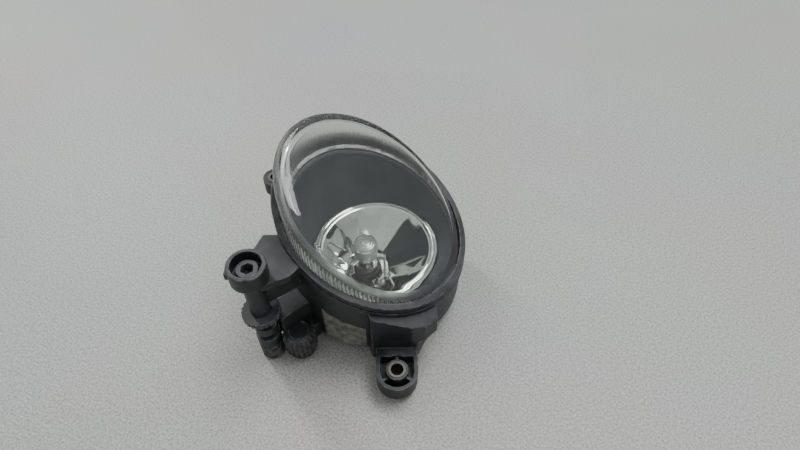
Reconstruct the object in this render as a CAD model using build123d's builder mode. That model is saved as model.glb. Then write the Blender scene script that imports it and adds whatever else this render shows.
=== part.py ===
from build123d import *
import math
import os

# A fog light for a car bumper. It lies on its back, as on a bench:
# +Z is the way the light goes, out of the lens, and the origin is the middle
# of the rear cover's outer face. +X is the downhill side of the slanted lens.
# Millimetres throughout.

os.makedirs("parts", exist_ok=True)

# ---- driving sizes -------------------------------------------------------
lens_r = 46.0             # outside radius of the glass
lens_wall = 3.0
ring_z = 60.0             # height of the slanted ring where it crosses the axis
ring_slope = 0.45         # fall of the ring for each mm towards +X
face_slope = 0.70         # fall of the glass face for each mm towards +X
face_rise = 13.5          # the face above the ring, on the axis
shoulder_r = 5.0          # rounding between the glass face and its wall
glass_depth = 5.0         # how far the glass goes down behind the lip

wall = 3.0                # moulded walls of the housing
seat_gap = 0.4            # glue gap round the glass
lip_wall = 1.6            # plastic left outside the glass
lip_out = 1.5             # how far the lip stands out from the body
lip_height = 7.0
floor_z = 6.0             # underside of the housing's own floor
seal_t = 1.2
body_r = lens_r + seat_gap + lip_wall
lip_r = body_r + lip_out

cover_r = 36.0
cover_t = 5.0
cover_skirt_r = 32.4
cover_fit = 0.3           # cover skirt in the housing's opening
cover_tabs = 3
cover_turn = 30.0         # degrees from locked to free

bulb_x, bulb_y = -4.5, -3.5   # the bulb stands a little off the housing's axis
bulb_glass_r = 4.8
bulb_barrel_r = 7.9
bulb_fit = 0.3
bulb_turn = 45.0

rim_r = 33.8
rim_width = 3.8
bowl_r = rim_r - rim_width    # lit opening of the reflector
rim_z = 34.0
rim_t = 1.4
bowl_t = 1.5
facets = 14
pivot_z = 27.0            # height of the reflector's tilt axis
pivot_pin_r = 2.0
pivot_fit = 0.06

adjust_turn = -113.3045   # degrees round the housing to the adjusting screw
adjust_gap = 22.7743      # from the housing's wall out to the screw's axis
shaft_r = 3.0
running_fit = 0.06
boss_r = 9.2
boss_height = 10.0
boss_wall = 2.0
plate_top = ring_z + 5.0
boss_top = plate_top + 14.0
recess_depth = 6.8
boss_edge_r = 0.7
plate_t = 4.0
column_r = 5.0
wheel_r = 9.6
wheel_z = ring_z - 21.4
wheel_t = 3.0
nut_height = 5.0
nut_travel = 2.0
sleeve_r = 6.2
sleeve_top = 20.5
sleeve_low = 2.0

bracket_z = (5.0, 45.0)
lug_turn = -52.1255       # degrees round the housing to the lower lug
lug_gap = 18.1302         # from the housing's wall out to the lug's bore
lug_r = 10.6
lug_top = 16.5
lug_bore_r = 3.25
bush_wall = 1.2

ear_turn = -173.1988      # degrees round the housing to the upper ear
ear_gap = 6.8862
ear_r = 6.6
ear_z = (ring_z + 1.0, ring_z + 9.0)
ear_bore_r = 2.75

socket_r = 8.0
socket_gap = 3.228        # between the housing's wall and the socket's
rib_r = 0.7
sleeve_gap = 0.505        # between the socket's ribs and the adjuster's sleeve
socket_wall = 1.5
socket_z = (3.0, 20.6)
socket_depth = 12.0

label_t = 0.3

# ---- sizes worked out from those ----------------------------------------
bore_r = body_r - wall - 0.5
glass_seat_r = lens_r + seat_gap
step_drop = glass_depth + seal_t
adjust_out = body_r + adjust_gap
socket_out = body_r + socket_gap + socket_r
socket_apart = sleeve_r + socket_r + rib_r + sleeve_gap
neck_top = rim_z - 19.5
neck_t = 3.0
stud_out = rim_r + 3.2
ear_root = bowl_r - 9.0   # the reflector's side ears start inside the bowl's wall
sky = 150.0               # higher than anything, for pieces cut down to a slope


def slant(height, slope):
    """A plane falling towards +X that crosses the axis at this height."""
    return Plane(origin=(0, 0, height), x_dir=(1, 0, -slope), z_dir=(slope, 0, 1))


def ring_plane(drop=0.0):
    """The ring's plane, lowered along Z."""
    return slant(ring_z - drop, ring_slope)


def face_plane(drop=0.0):
    """The glass face's plane, lowered along Z."""
    return slant(ring_z + face_rise - drop, face_slope)


def radial_plane(angle, out, height):
    """A plane square to the spoke at this angle, facing outwards."""
    turn = math.radians(angle)
    spoke = (math.cos(turn), math.sin(turn), 0)
    return Plane(origin=(out * spoke[0], out * spoke[1], height), x_dir=(-spoke[1], spoke[0], 0), z_dir=spoke)


def polar(radius, angle, x=0.0, y=0.0):
    """Plan position at a radius and angle round a centre."""
    turn = math.radians(angle)
    return (x + radius * math.cos(turn), y + radius * math.sin(turn))


adjust_x, adjust_y = polar(adjust_out, adjust_turn)
lug_x, lug_y = polar(body_r + lug_gap, lug_turn)
ear_x, ear_y = polar(body_r + ear_gap, ear_turn)
# the socket stands just clear of the adjuster's sleeve
socket_cos = (adjust_out ** 2 + socket_out ** 2 - socket_apart ** 2) / (2 * adjust_out * socket_out)
socket_turn = adjust_turn + math.degrees(math.acos(socket_cos))
socket_x, socket_y = polar(socket_out, socket_turn)


def slanted_band(outer, inner, low_drop, high_drop):
    """A tube round the axis, cut off parallel to the ring below and above."""
    with BuildPart() as band:
        with BuildSketch():
            Circle(outer)
            Circle(inner, mode=Mode.SUBTRACT)
        extrude(amount=sky)
        split(bisect_by=ring_plane(high_drop), keep=Keep.BOTTOM)
        split(bisect_by=ring_plane(low_drop), keep=Keep.TOP)
    return band.part


def save(piece, name):
    """Label a finished piece and write its STEP."""
    piece.part.label = name
    export_step(piece.part, f"parts/{name}.step")


# ---- housing: cup, lip, adjuster arm with boss and column, and ear ---------
upper_lip = slanted_band(lip_r, body_r - 1, 2.6, 0.0)
lower_lip = slanted_band(lip_r, body_r - 1, lip_height, 4.2)
slot_height = nut_height + 2 * nut_travel + 1.5
slot_width = 9.0
plate_reach = 8.2         # the arm's bent corners, out from the wall
web_half = 1.5
tab_turn = 205.0          # the stop tab's place round the boss
tab_out = 1.8
tab_width = 3.6
tab_height = 4.0


with BuildPart() as boss:
    with Locations((adjust_x, adjust_y, boss_top - boss_height)):
        Cylinder(boss_r, boss_height, align=(Align.CENTER, Align.CENTER, Align.MIN))
    fillet(boss.edges().filter_by(GeomType.CIRCLE), boss_edge_r)

with BuildPart() as cup:
    with BuildSketch(Plane.XY.offset(floor_z)):
        Circle(body_r)
    extrude(amount=sky)
    split(bisect_by=ring_plane(), keep=Keep.BOTTOM)
    fillet(cup.edges().sort_by(Axis.Z)[0], 3.5)
    add(upper_lip)
    add(lower_lip)

with BuildPart() as housing:
    add(cup.part)
    # the arm that carries the adjuster, level and just under the lip
    with BuildSketch(Plane.XY.offset(plate_top - plate_t)):
        with BuildLine():
            Polyline(
                polar(body_r - 1, 228),
                polar(body_r + plate_reach, 224.8),
                (adjust_x - boss_r, adjust_y + 1),
                (adjust_x + 2, adjust_y - 4),
                polar(body_r + plate_reach, 255.1),
                polar(body_r - 1, 254),
                close=True,
            )
        make_face()
    extrude(amount=plate_t)
    # a web under the arm, in line with the adjuster
    with BuildSketch(Plane(origin=(0, 0, 0), x_dir=(*polar(1, adjust_turn), 0), z_dir=(*polar(1, adjust_turn - 90), 0))):
        with BuildLine():
            Polyline(
                (body_r - 1, plate_top - 1),
                (adjust_out, plate_top - 1),
                (adjust_out, wheel_z + wheel_t + 4),
                (body_r - 1, wheel_z + wheel_t + 1),
                close=True,
            )
        make_face()
    extrude(amount=web_half, both=True)
    # boss and column round the screw
    add(boss.part)
    column_low = wheel_z + wheel_t + 0.5
    with Locations((adjust_x, adjust_y, column_low)):
        Cylinder(column_r, boss_top - boss_height - column_low, align=(Align.CENTER, Align.CENTER, Align.MIN))
    # a small stop tab on the boss
    with BuildSketch(Plane.XY.offset(boss_top - boss_height)):
        with Locations((adjust_x, adjust_y)):
            with PolarLocations(boss_r, 1, start_angle=tab_turn):
                Rectangle(2 * tab_out, tab_width)
    extrude(amount=tab_height)
    # ear at the upper side, joined to the wall
    with BuildSketch(Plane.XY.offset(ear_z[0])):
        with Locations((ear_x, ear_y)):
            Circle(ear_r)
        with BuildLine():
            Polyline(
                polar(body_r - 1, 160),
                (ear_x + 1, ear_y + ear_r),
                (ear_x, ear_y - ear_r),
                polar(body_r - 1, 196),
                close=True,
            )
        make_face()
    extrude(amount=ear_z[1] - ear_z[0])
    # inside of the cup
    with BuildSketch(Plane.XY.offset(floor_z + wall)):
        Circle(bore_r)
    extrude(amount=sky, mode=Mode.SUBTRACT)
    # bosses for the reflector's pivot pins
    for side in (90, -90):
        with BuildSketch(radial_plane(adjust_turn + side, rim_r + 4.6, pivot_z)):
            Circle(4.6)
        extrude(until=Until.NEXT)
        with BuildSketch(radial_plane(adjust_turn + side, rim_r + 4.0, pivot_z)):
            Circle(pivot_pin_r + pivot_fit)
        extrude(amount=5.0, mode=Mode.SUBTRACT)
    # seat for the glass, and the step that the bezel rests on
    add(slanted_band(glass_seat_r, bore_r - 1, step_drop, -30.0), mode=Mode.SUBTRACT)
    # hole and locking notches for the rear cover
    with BuildSketch(Plane.XY.offset(floor_z)):
        Circle(cover_skirt_r + cover_fit)
        with PolarLocations(0, cover_tabs, start_angle=cover_turn):
            with Locations((cover_skirt_r + 1.2, 0)):
                Rectangle(5.4, 10.8)
    extrude(amount=wall, mode=Mode.SUBTRACT)
    # bores of the boss, the column and the ear
    with Locations((adjust_x, adjust_y, boss_top - recess_depth)):
        Cylinder(boss_r - boss_wall, sky, align=(Align.CENTER, Align.CENTER, Align.MIN), mode=Mode.SUBTRACT)
    with Locations((adjust_x, adjust_y, 0)):
        Cylinder(shaft_r + running_fit, sky, align=(Align.CENTER, Align.CENTER, Align.MIN), mode=Mode.SUBTRACT)
    with Locations((ear_x, ear_y, 0)):
        Cylinder(ear_bore_r + bush_wall, sky, align=(Align.CENTER, Align.CENTER, Align.MIN), mode=Mode.SUBTRACT)
    # window in the wall for the adjuster's arm
    with BuildSketch(radial_plane(adjust_turn, bore_r - 3, pivot_z)):
        Rectangle(slot_width, slot_height)
    extrude(amount=9, mode=Mode.SUBTRACT)
save(housing, "housing")

# ---- glass lens ------------------------------------------------------------
with BuildPart() as lens_core:
    with BuildSketch():
        Circle(lens_r - lens_wall)
    extrude(amount=sky)
    split(bisect_by=face_plane(lens_wall * math.hypot(1, face_slope)), keep=Keep.BOTTOM)
    fillet(lens_core.edges().sort_by(Axis.Z)[-1], max(shoulder_r - lens_wall, 1.0))

with BuildPart() as lens:
    with BuildSketch():
        Circle(lens_r)
    extrude(amount=sky)
    split(bisect_by=face_plane(), keep=Keep.BOTTOM)
    fillet(lens.edges().sort_by(Axis.Z)[-1], shoulder_r)
    add(lens_core.part, mode=Mode.SUBTRACT)
    split(bisect_by=ring_plane(glass_depth), keep=Keep.TOP)
save(lens, "lens")

# ---- seal under the glass --------------------------------------------------
with BuildPart() as lens_seal:
    add(slanted_band(lens_r, lens_r - lens_wall, step_drop - 0.6, glass_depth))
save(lens_seal, "lens_seal")

# ---- bezel: a funnel from the slanted ring down to the reflector -----------
bezel_t = 1.4
bezel_low = 32.4
bezel_top_r = bore_r - 0.4
bezel_low_r = rim_r + 1.6 + bezel_t
tilt_stretch = math.hypot(1, ring_slope)


def funnel(shrink, low, drop):
    """Solid between a circle at the bottom and the slanted ring at the top."""
    with BuildPart() as body:
        with BuildSketch(Plane.XY.offset(low)):
            Circle(bezel_low_r - shrink)
        with BuildSketch(ring_plane(drop)):
            Ellipse((bezel_top_r - shrink) * tilt_stretch, bezel_top_r - shrink)
        loft(ruled=True)
    return body.part


with BuildPart() as bezel:
    add(funnel(0, bezel_low, step_drop))
    add(slanted_band(lens_r, bezel_top_r - 2, step_drop, step_drop - 0.6))
    add(funnel(bezel_t, bezel_low - 0.01, step_drop - 0.7), mode=Mode.SUBTRACT)
save(bezel, "bezel")

# ---- reflector: faceted bowl, rim and neck ---------------------------------
bowl_depths = (1.0, 7.0, 12.5, 16.5, 19.5)


def bowl(grow):
    """Stack of like polygons from the rim down to the neck, off centre at the bottom."""
    deepest = bowl_depths[-1]
    focal = bowl_r ** 2 / (4 * (deepest + 0.5))
    with BuildPart() as body:
        for depth in bowl_depths:
            share = (depth - bowl_depths[0]) / (deepest - bowl_depths[0])
            radius = max(math.sqrt(4 * focal * (deepest + 0.5 - depth)), 12.5)
            centre = (bulb_x * share, bulb_y * share, rim_z - depth)
            with BuildSketch(Plane(origin=centre)):
                RegularPolygon(radius + grow, facets)
        loft(ruled=True)
    return body.part


with BuildPart() as reflector:
    add(bowl(bowl_t))
    with Locations((0, 0, rim_z - rim_t)):
        Cylinder(rim_r, rim_t, align=(Align.CENTER, Align.CENTER, Align.MIN))
    with Locations((bulb_x, bulb_y, neck_top - neck_t)):
        Cylinder(14.0, neck_t, align=(Align.CENTER, Align.CENTER, Align.MIN))
    # two ears for the pivot pins and one for the ball stud, out from the bowl's side
    for side in (90, 0, -90):
        with BuildSketch(radial_plane(adjust_turn + side, ear_root, pivot_z)):
            Rectangle(6.4, 5.6)
        extrude(amount=rim_r - ear_root)
    add(bowl(0), mode=Mode.SUBTRACT)
    with Locations((0, 0, rim_z - rim_t)):
        Cylinder(bowl_r * math.cos(math.pi / facets), 10, align=(Align.CENTER, Align.CENTER, Align.MIN), mode=Mode.SUBTRACT)
    # round hole with three notches for the bulb's bayonet tabs
    with BuildSketch(Plane.XY.offset(neck_top - neck_t)):
        with Locations((bulb_x, bulb_y)):
            Circle(bulb_barrel_r + bulb_fit)
            with PolarLocations(0, 3, start_angle=bulb_turn):
                with Locations((bulb_barrel_r, 0)):
                    Rectangle(4.0, 4.6)
    extrude(amount=neck_t, mode=Mode.SUBTRACT)
save(reflector, "reflector")

with BuildPart() as pivot_pins:
    for side in (90, -90):
        with BuildSketch(radial_plane(adjust_turn + side, rim_r, pivot_z)):
            Circle(pivot_pin_r)
        extrude(amount=8.2)
save(pivot_pins, "pivot_pins")

ball_r = 2.0
with BuildPart() as ball_stud:
    with BuildSketch(radial_plane(adjust_turn, rim_r, pivot_z)):
        Circle(1.1)
    extrude(amount=stud_out - rim_r)
    with Locations((*polar(stud_out, adjust_turn), pivot_z)):
        Sphere(ball_r)
save(ball_stud, "ball_stud")

# ---- bulb shield: a cap over the bulb's tip on three legs ------------------
shield_r = 6.6
shield_low = 28.0
shield_top = 38.5
shield_t = 0.7
with BuildPart() as bulb_shield:
    with Locations((bulb_x, bulb_y, shield_low)):
        Cylinder(shield_r, shield_top - shield_low, align=(Align.CENTER, Align.CENTER, Align.MIN))
    fillet(bulb_shield.edges().sort_by(Axis.Z)[-1], 1.2)
    with Locations((bulb_x, bulb_y, shield_low)):
        Cylinder(
            shield_r - shield_t,
            shield_top - shield_low - shield_t,
            align=(Align.CENTER, Align.CENTER, Align.MIN),
            mode=Mode.SUBTRACT,
        )
    with Locations((bulb_x, bulb_y, 0)):
        with PolarLocations(0, 3, start_angle=15):
            with Locations((shield_r + 1.9, 0, shield_low + 0.6)):
                Box(4.6, 1.8, 1.0)
            with Locations((shield_r + 4.0, 0, neck_top)):
                Box(1.0, 1.8, shield_low + 1.1 - neck_top, align=(Align.CENTER, Align.CENTER, Align.MIN))
            with Locations((shield_r + 4.0, 0, neck_top)):
                Box(1.8, 3.0, 0.8, align=(Align.CENTER, Align.CENTER, Align.MIN))
save(bulb_shield, "bulb_shield")

# ---- bulb ------------------------------------------------------------------
base_top = neck_top - neck_t - 0.8
base_low = 6.4
with BuildPart() as bulb_base:
    with Locations((bulb_x, bulb_y, base_top - 2.0)):
        Cylinder(11.5, 2.0, align=(Align.CENTER, Align.CENTER, Align.MIN))
    with Locations((bulb_x, bulb_y, base_low)):
        Box(15, 11, base_top - 2.0 - base_low, align=(Align.CENTER, Align.CENTER, Align.MIN))
    with Locations((bulb_x, bulb_y, base_top)):
        Cylinder(bulb_barrel_r, neck_top + 2.0 - base_top, align=(Align.CENTER, Align.CENTER, Align.MIN))
    with Locations((bulb_x, bulb_y, neck_top + 0.3)):
        with PolarLocations(0, 3):
            with Locations((bulb_barrel_r - 0.2, 0, 0)):
                Box(3.0, 3.6, 1.4, align=(Align.CENTER, Align.CENTER, Align.MIN))
    with Locations((bulb_x, bulb_y, neck_top)):
        Cylinder(bulb_glass_r + 0.05, 3, align=(Align.CENTER, Align.CENTER, Align.MIN), mode=Mode.SUBTRACT)
save(bulb_base, "bulb_base")

with BuildPart() as bulb_oring:
    with BuildSketch(Plane.XY.offset(base_top)):
        with Locations((bulb_x, bulb_y)):
            Circle(bulb_barrel_r + 2.2)
            Circle(bulb_barrel_r + 0.02, mode=Mode.SUBTRACT)
    extrude(amount=0.6)
save(bulb_oring, "bulb_oring")

collar_low = neck_top + 2.0
collar_top = collar_low + 3.6
with BuildPart() as bulb_collar:
    with BuildSketch(Plane.XY.offset(collar_low)):
        with Locations((bulb_x, bulb_y)):
            Circle(bulb_glass_r + 1.3)
            Circle(bulb_glass_r + 0.05, mode=Mode.SUBTRACT)
    extrude(amount=collar_top - collar_low)
save(bulb_collar, "bulb_collar")

glass_low = neck_top + 0.2
glass_top = shield_top - shield_t - 2.2
glass_t = 0.8
with BuildPart() as bulb_glass:
    with BuildSketch(Plane(origin=(bulb_x, bulb_y, 0), x_dir=(1, 0, 0), z_dir=(0, -1, 0))):
        with BuildLine():
            Polyline((0, glass_top), (0, glass_low), (bulb_glass_r, glass_low), (bulb_glass_r, glass_top - bulb_glass_r))
            RadiusArc((bulb_glass_r, glass_top - bulb_glass_r), (0, glass_top), -bulb_glass_r)
        make_face()
    revolve(axis=Axis((bulb_x, bulb_y, 0), (0, 0, 1)))
    with BuildSketch(Plane(origin=(bulb_x, bulb_y, 0), x_dir=(1, 0, 0), z_dir=(0, -1, 0))):
        inner_r = bulb_glass_r - glass_t
        with BuildLine():
            Polyline(
                (0, glass_top - glass_t),
                (0, glass_low + 2.0),
                (inner_r, glass_low + 2.0),
                (inner_r, glass_top - bulb_glass_r),
            )
            RadiusArc((inner_r, glass_top - bulb_glass_r), (0, glass_top - glass_t), -inner_r)
        make_face()
    revolve(axis=Axis((bulb_x, bulb_y, 0), (0, 0, 1)), mode=Mode.SUBTRACT)
save(bulb_glass, "bulb_glass")

post_r = 0.35
coil_r = 0.75
coil_z = (22.2, 27.2)
with BuildPart() as filament:
    with Locations((bulb_x, bulb_y, coil_z[0])):
        Cylinder(coil_r, coil_z[1] - coil_z[0], align=(Align.CENTER, Align.CENTER, Align.MIN))
save(filament, "filament")

with BuildPart() as filament_posts:
    for side, height in ((-1, coil_z[0] - post_r), (1, coil_z[1] + post_r)):
        with Locations((bulb_x + side * 2.2, bulb_y, glass_low + 2.0)):
            Cylinder(post_r, height - glass_low - 2.0, align=(Align.CENTER, Align.CENTER, Align.MIN))
        with Locations((bulb_x + side * 1.1, bulb_y, height)):
            Box(2.2 + 2 * post_r, 2 * post_r, 2 * post_r)
save(filament_posts, "filament_posts")

with BuildPart() as bulb_terminals:
    for side in (-1, 1):
        with Locations((bulb_x + side * 3.2, bulb_y + 8.6, base_low + 0.8)):
            Box(2.8, 6.2, 0.8)
save(bulb_terminals, "bulb_terminals")

# ---- adjuster: screw, hand wheel, nut, carrier sleeve and cover ------------
screw_low = sleeve_low + 6.0
head_r = 5.0
head_low = boss_top - recess_depth + 0.2
head_t = 3.4
with BuildPart() as adjuster_screw:
    with Locations((adjust_x, adjust_y, screw_low)):
        Cylinder(shaft_r, head_low - screw_low, align=(Align.CENTER, Align.CENTER, Align.MIN))
    with Locations((adjust_x, adjust_y, head_low)):
        Cylinder(head_r, head_t, align=(Align.CENTER, Align.CENTER, Align.MIN))
    with BuildSketch(Plane.XY.offset(head_low + head_t)):
        with Locations((adjust_x, adjust_y)):
            RegularPolygon(3.2, 6)
    extrude(amount=-(head_t + 1.6), mode=Mode.SUBTRACT)
save(adjuster_screw, "adjuster_screw")

with BuildPart() as adjuster_wheel:
    with BuildSketch(Plane.XY.offset(wheel_z)):
        with Locations((adjust_x, adjust_y)):
            Circle(wheel_r)
            Circle(shaft_r, mode=Mode.SUBTRACT)
            with PolarLocations(wheel_r + 0.3, 24):
                Circle(0.75, mode=Mode.SUBTRACT)
    extrude(amount=wheel_t)
save(adjuster_wheel, "adjuster_wheel")

arm_width = 5.0
arm_height = 4.0
arm_plane = Plane(origin=(0, 0, 0), x_dir=(*polar(1, adjust_turn), 0), z_dir=(0, 0, 1))
with BuildPart() as adjuster_nut:
    with Locations((adjust_x, adjust_y, pivot_z)):
        Cylinder(5.8, nut_height)
    with BuildSketch(arm_plane.offset(pivot_z - arm_height / 2)):
        with Locations(((adjust_out + stud_out - 2) / 2, 0)):
            Rectangle(adjust_out - stud_out + 2, arm_width)
    extrude(amount=arm_height)
    with Locations((*polar(stud_out + 1.0, adjust_turn), pivot_z)):
        Cylinder(3.6, 6.2)
    with BuildSketch(radial_plane(adjust_turn, stud_out - 4.0, pivot_z)):
        Circle(ball_r + 0.15)
    extrude(amount=4.0 + ball_r + 0.5, mode=Mode.SUBTRACT)
    with Locations((adjust_x, adjust_y, pivot_z)):
        Cylinder(shaft_r + running_fit, nut_height + 2, mode=Mode.SUBTRACT)
save(adjuster_nut, "adjuster_nut")

grooves = 6
foot_width = 5.0
with BuildPart() as adjuster_carrier:
    with Locations((adjust_x, adjust_y, sleeve_low)):
        Cylinder(sleeve_r, sleeve_top - sleeve_low, align=(Align.CENTER, Align.CENTER, Align.MIN))
    # foot plate from the sleeve to the housing wall
    with BuildSketch(arm_plane.offset(sleeve_top - 5)):
        with Locations(((adjust_out + body_r) / 2, -foot_width / 2 - 0.5)):
            Rectangle(adjust_out - body_r + 3, foot_width)
    extrude(amount=5)
    with BuildSketch(arm_plane.offset(9.0)):
        with Locations(((adjust_out + body_r) / 2, -foot_width / 2 - 0.5)):
            Rectangle(adjust_out - body_r + 3, 2.4)
    extrude(amount=sleeve_top - 12)
    with Locations((0, 0, 0)):
        Cylinder(body_r + 0.02, sky, mode=Mode.SUBTRACT)
    groove_pitch = (sleeve_top - 7 - sleeve_low) / grooves
    for step in range(grooves):
        with Locations((adjust_x, adjust_y, sleeve_low + 1.6 + step * groove_pitch)):
            Torus(sleeve_r + 0.25, 0.75, mode=Mode.SUBTRACT)
    with Locations((adjust_x, adjust_y, sleeve_low + 4)):
        Cylinder(shaft_r + running_fit, sky, align=(Align.CENTER, Align.CENTER, Align.MIN), mode=Mode.SUBTRACT)
save(adjuster_carrier, "adjuster_carrier")

cover_low = pivot_z - slot_height / 2 - 1.0
cover_high = pivot_z + slot_height / 2 + 0.4
with BuildPart() as adjuster_cover:
    with BuildSketch(arm_plane.offset(cover_low)):
        with Locations(((body_r + adjust_out - 7.5) / 2, 0)):
            Rectangle(adjust_out - 7.5 - body_r + 2, slot_width + 3)
    extrude(amount=cover_high - cover_low)
    with BuildSketch(arm_plane.offset(cover_low + 1.2)):
        with Locations(((body_r + adjust_out) / 2, 0)):
            Rectangle(adjust_out - body_r + 12, slot_width)
    extrude(amount=cover_high - cover_low - 2.4, mode=Mode.SUBTRACT)
    with Locations((0, 0, 0)):
        Cylinder(body_r + 0.02, sky, mode=Mode.SUBTRACT)
save(adjuster_cover, "adjuster_cover")

# ---- electrical socket on the housing's side --------------------------------
ribs = 9
with BuildPart() as connector_shell:
    with Locations((socket_x, socket_y, socket_z[0])):
        Cylinder(socket_r, socket_z[1] - socket_z[0], align=(Align.CENTER, Align.CENTER, Align.MIN))
    fillet(connector_shell.edges().sort_by(Axis.Z)[-1], 4.0)
    with BuildSketch(Plane(origin=(0, 0, socket_z[0] + 4), x_dir=(*polar(1, socket_turn), 0), z_dir=(0, 0, 1))):
        with Locations(((body_r + socket_out - 3) / 2, 0)):
            Rectangle(socket_out - body_r, 9.0)
    extrude(amount=socket_z[1] - socket_z[0] - 6)
    with Locations((0, 0, 0)):
        Cylinder(body_r + 0.02, sky, mode=Mode.SUBTRACT)
    for step in range(ribs):
        spot = polar(socket_r, socket_turn - 60 + step * 15, socket_x, socket_y)
        with Locations((*spot, socket_z[0] + 1)):
            Cylinder(rib_r, socket_z[1] - socket_z[0] - 5, align=(Align.CENTER, Align.CENTER, Align.MIN))
    with Locations((socket_x, socket_y, socket_z[0])):
        Cylinder(
            socket_r - socket_wall,
            socket_depth,
            align=(Align.CENTER, Align.CENTER, Align.MIN),
            mode=Mode.SUBTRACT,
        )
save(connector_shell, "connector_shell")

with BuildPart() as connector_terminals:
    for side in (-1, 1):
        with Locations((socket_x + side * 2.4, socket_y - 3.0, socket_z[0] + 5)):
            Box(2.8, 0.8, socket_depth - 5, align=(Align.CENTER, Align.CENTER, Align.MIN))
save(connector_terminals, "connector_terminals")

# ---- lower bracket with its lug ---------------------------------------------
face_turn = -62.2         # way the bracket's flat face looks
flank_corners = ((8.85, -39.3), (23.7, -30.1), (14.5, -7.35), (-3.3, -10.3))
with BuildPart() as lug_bracket:
    with BuildSketch(Plane.XY.offset(bracket_z[0])):
        with BuildLine():
            Polyline(
                polar(body_r - 1, -66),
                polar(body_r + 4.1, -63.4),
                polar(body_r + 7.6, -41.7),
                polar(body_r + 8.4, -34.5),
                polar(body_r + 7.0, -25.9),
                polar(body_r - 1, -20),
                close=True,
            )
        make_face()
    extrude(amount=bracket_z[1] - bracket_z[0])
    # the far flank leans in towards the bottom
    with BuildSketch(Plane.XY.offset(bracket_z[0])):
        with BuildLine():
            Polyline(*(polar(body_r + out, turn) for out, turn in flank_corners), close=True)
        make_face()
    extrude(amount=14, mode=Mode.SUBTRACT)
    # lug: a cup with a flat floor, walls and a middle hub
    lug_plane = Plane(origin=(lug_x, lug_y, bracket_z[0]), x_dir=(*polar(1, face_turn), 0), z_dir=(0, 0, 1))
    with BuildSketch(lug_plane):
        Circle(lug_r)
        with Locations((-7.0, 0)):
            Rectangle(14.0, 2 * lug_r)
    extrude(amount=lug_top - 1.5 - bracket_z[0])
    with BuildSketch(lug_plane.offset(3.0)):
        Circle(lug_r - 2.0)
        with Locations((-4.0, 0)):
            Rectangle(8.0, 2 * lug_r - 4.0)
    extrude(amount=20, mode=Mode.SUBTRACT)
    with Locations((lug_x, lug_y, bracket_z[0])):
        Cylinder(lug_bore_r + bush_wall + 1.2, lug_top - bracket_z[0], align=(Align.CENTER, Align.CENTER, Align.MIN))
    # three webs from the hub to the cup's wall
    for turn in (0, 120, 240):
        centre = polar((lug_r + lug_bore_r + bush_wall) / 2, face_turn + 60 + turn, lug_x, lug_y)
        with Locations(Location((*centre, bracket_z[0] + 2), (0, 0, face_turn + 60 + turn))):
            Box(lug_r - lug_bore_r - bush_wall, 1.4, lug_top - bracket_z[0] - 5, align=(Align.CENTER, Align.CENTER, Align.MIN))
    with Locations((lug_x, lug_y, 0)):
        Cylinder(lug_bore_r + bush_wall, sky, mode=Mode.SUBTRACT)
    with Locations((0, 0, 0)):
        Cylinder(body_r + 0.02, sky, mode=Mode.SUBTRACT)
    # the bracket stops under the lip
    split(bisect_by=ring_plane(lip_height + 0.1), keep=Keep.BOTTOM)
save(lug_bracket, "lug_bracket")


def bush(x, y, bore, low, high):
    """A plain metal sleeve."""
    with BuildPart() as sleeve:
        with BuildSketch(Plane.XY.offset(low)):
            with Locations((x, y)):
                Circle(bore + bush_wall)
                Circle(bore, mode=Mode.SUBTRACT)
        extrude(amount=high - low)
    return sleeve


save(bush(lug_x, lug_y, lug_bore_r, bracket_z[0], lug_top + 0.4), "lug_bush")
save(bush(ear_x, ear_y, ear_bore_r, ear_z[0], ear_z[1] + 0.4), "ear_bush")

# ---- blank label on the wall -------------------------------------------------
with BuildPart() as label:
    with BuildSketch(Plane.XY.offset(9.6)):
        with BuildLine():
            CenterArc((0, 0), body_r + 0.02, -95, 28)
            Line(polar(body_r + 0.02, -67), polar(body_r + label_t, -67))
            CenterArc((0, 0), body_r + label_t, -67, -28)
            Line(polar(body_r + label_t, -95), polar(body_r + 0.02, -95))
        make_face()
    extrude(amount=40)
    split(bisect_by=slant(33.4, 0.33), keep=Keep.BOTTOM)
save(label, "label")

# ---- breather cap on the far wall ---------------------------------------------
vent_turn = 100.0
with BuildPart() as vent_cap:
    with BuildSketch(radial_plane(vent_turn, body_r - 2, 22)):
        Circle(2.6)
    extrude(amount=8)
    with BuildSketch(radial_plane(vent_turn, body_r + 2.5, 22)):
        Circle(5.2)
    extrude(amount=5)
    fillet(vent_cap.faces().sort_by(Axis(origin=(0, 0, 22), direction=(*polar(1, vent_turn), 0)))[-1].edges(), 1.6)
    with Locations((0, 0, 0)):
        Cylinder(body_r + 0.02, sky, mode=Mode.SUBTRACT)
save(vent_cap, "vent_cap")

# ---- rear cover with bayonet tabs, and its seal --------------------------------
skirt_top = floor_z + wall + 2.2
with BuildPart() as rear_cover:
    Cylinder(cover_r, cover_t, align=(Align.CENTER, Align.CENTER, Align.MIN))
    fillet(rear_cover.edges().sort_by(Axis.Z)[0], 1.5)
    with BuildSketch(Plane.XY.offset(cover_t)):
        Circle(cover_skirt_r)
        Circle(cover_skirt_r - 2, mode=Mode.SUBTRACT)
    extrude(amount=skirt_top - cover_t)
    with BuildSketch(Plane.XY.offset(floor_z + wall + 0.3)):
        with PolarLocations(0, cover_tabs):
            with Locations((cover_skirt_r + 0.6, 0)):
                Rectangle(3.6, 9.0)
    extrude(amount=1.6)
    # two finger pockets leave a grip bar across the middle
    with BuildSketch():
        with Locations((0, 15), (0, -15)):
            SlotOverall(40, 16)
    extrude(amount=cover_t - 2, mode=Mode.SUBTRACT)
save(rear_cover, "rear_cover")

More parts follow.
